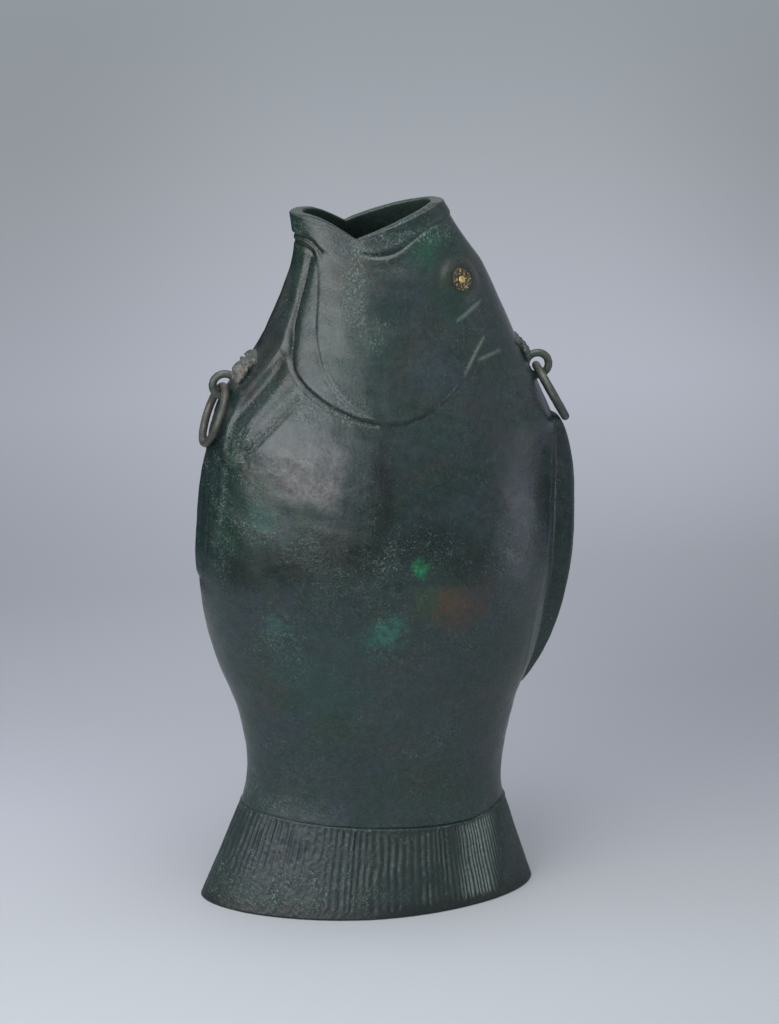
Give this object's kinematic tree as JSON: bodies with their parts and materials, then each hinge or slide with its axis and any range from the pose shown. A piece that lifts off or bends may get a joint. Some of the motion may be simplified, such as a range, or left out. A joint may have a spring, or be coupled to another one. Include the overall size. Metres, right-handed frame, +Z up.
{
  "type": "fish-shaped bronze hu vessel",
  "caption": "Bronze wine vessel cast as a standing fish, open at the mouth, with a ribbed tail as its foot and a mask lug with a loose ring on each edge.",
  "frame": {"origin": "middle of the standing surface under the vessel's bounding box", "axes": "+X from the belly edge to the back edge of the fish, +Y through its thickness, +Z up to the mouth"},
  "size_m": [0.1694, 0.1, 0.32],
  "materials": {
    "body_bronze": "cast bronze with a smooth dark blue-green patina",
    "tail_bronze": "cast bronze with a dark blue-green patina, dustier in its grooves",
    "floor_bronze": "cast bronze with a dull dark patina",
    "lug_bronze": "cast bronze with a worn grey-brown patina",
    "ring_bronze": "bronze with a worn grey-brown patina",
    "inlay": "worn gold foil over dark bronze",
    "gold": "gold"
  },
  "bodies": {
    "vessel": {"fish_body": "body_bronze", "tail_foot": "tail_bronze", "floor_plate": "floor_bronze", "back_lug": "lug_bronze", "belly_lug": "lug_bronze", "left_eye_inlay": "inlay", "right_eye_inlay": "inlay", "left_pupil": "gold", "right_pupil": "gold"},
    "back_ring": {"back_ring": "ring_bronze"},
    "belly_ring": {"belly_ring": "ring_bronze"}
  },
  "joints": [
    {"name": "back_ring_swing", "type": "hinge", "parent": "vessel", "child": "back_ring", "pos_m": [0.06734, 0, 0.2418], "axis": [0, -1, 0], "range_deg": [0, 175]},
    {"name": "belly_ring_swing", "type": "hinge", "parent": "vessel", "child": "belly_ring", "pos_m": [-0.07109, 0, 0.2394], "axis": [0, 1, 0], "range_deg": [0, 190]}
  ]
}
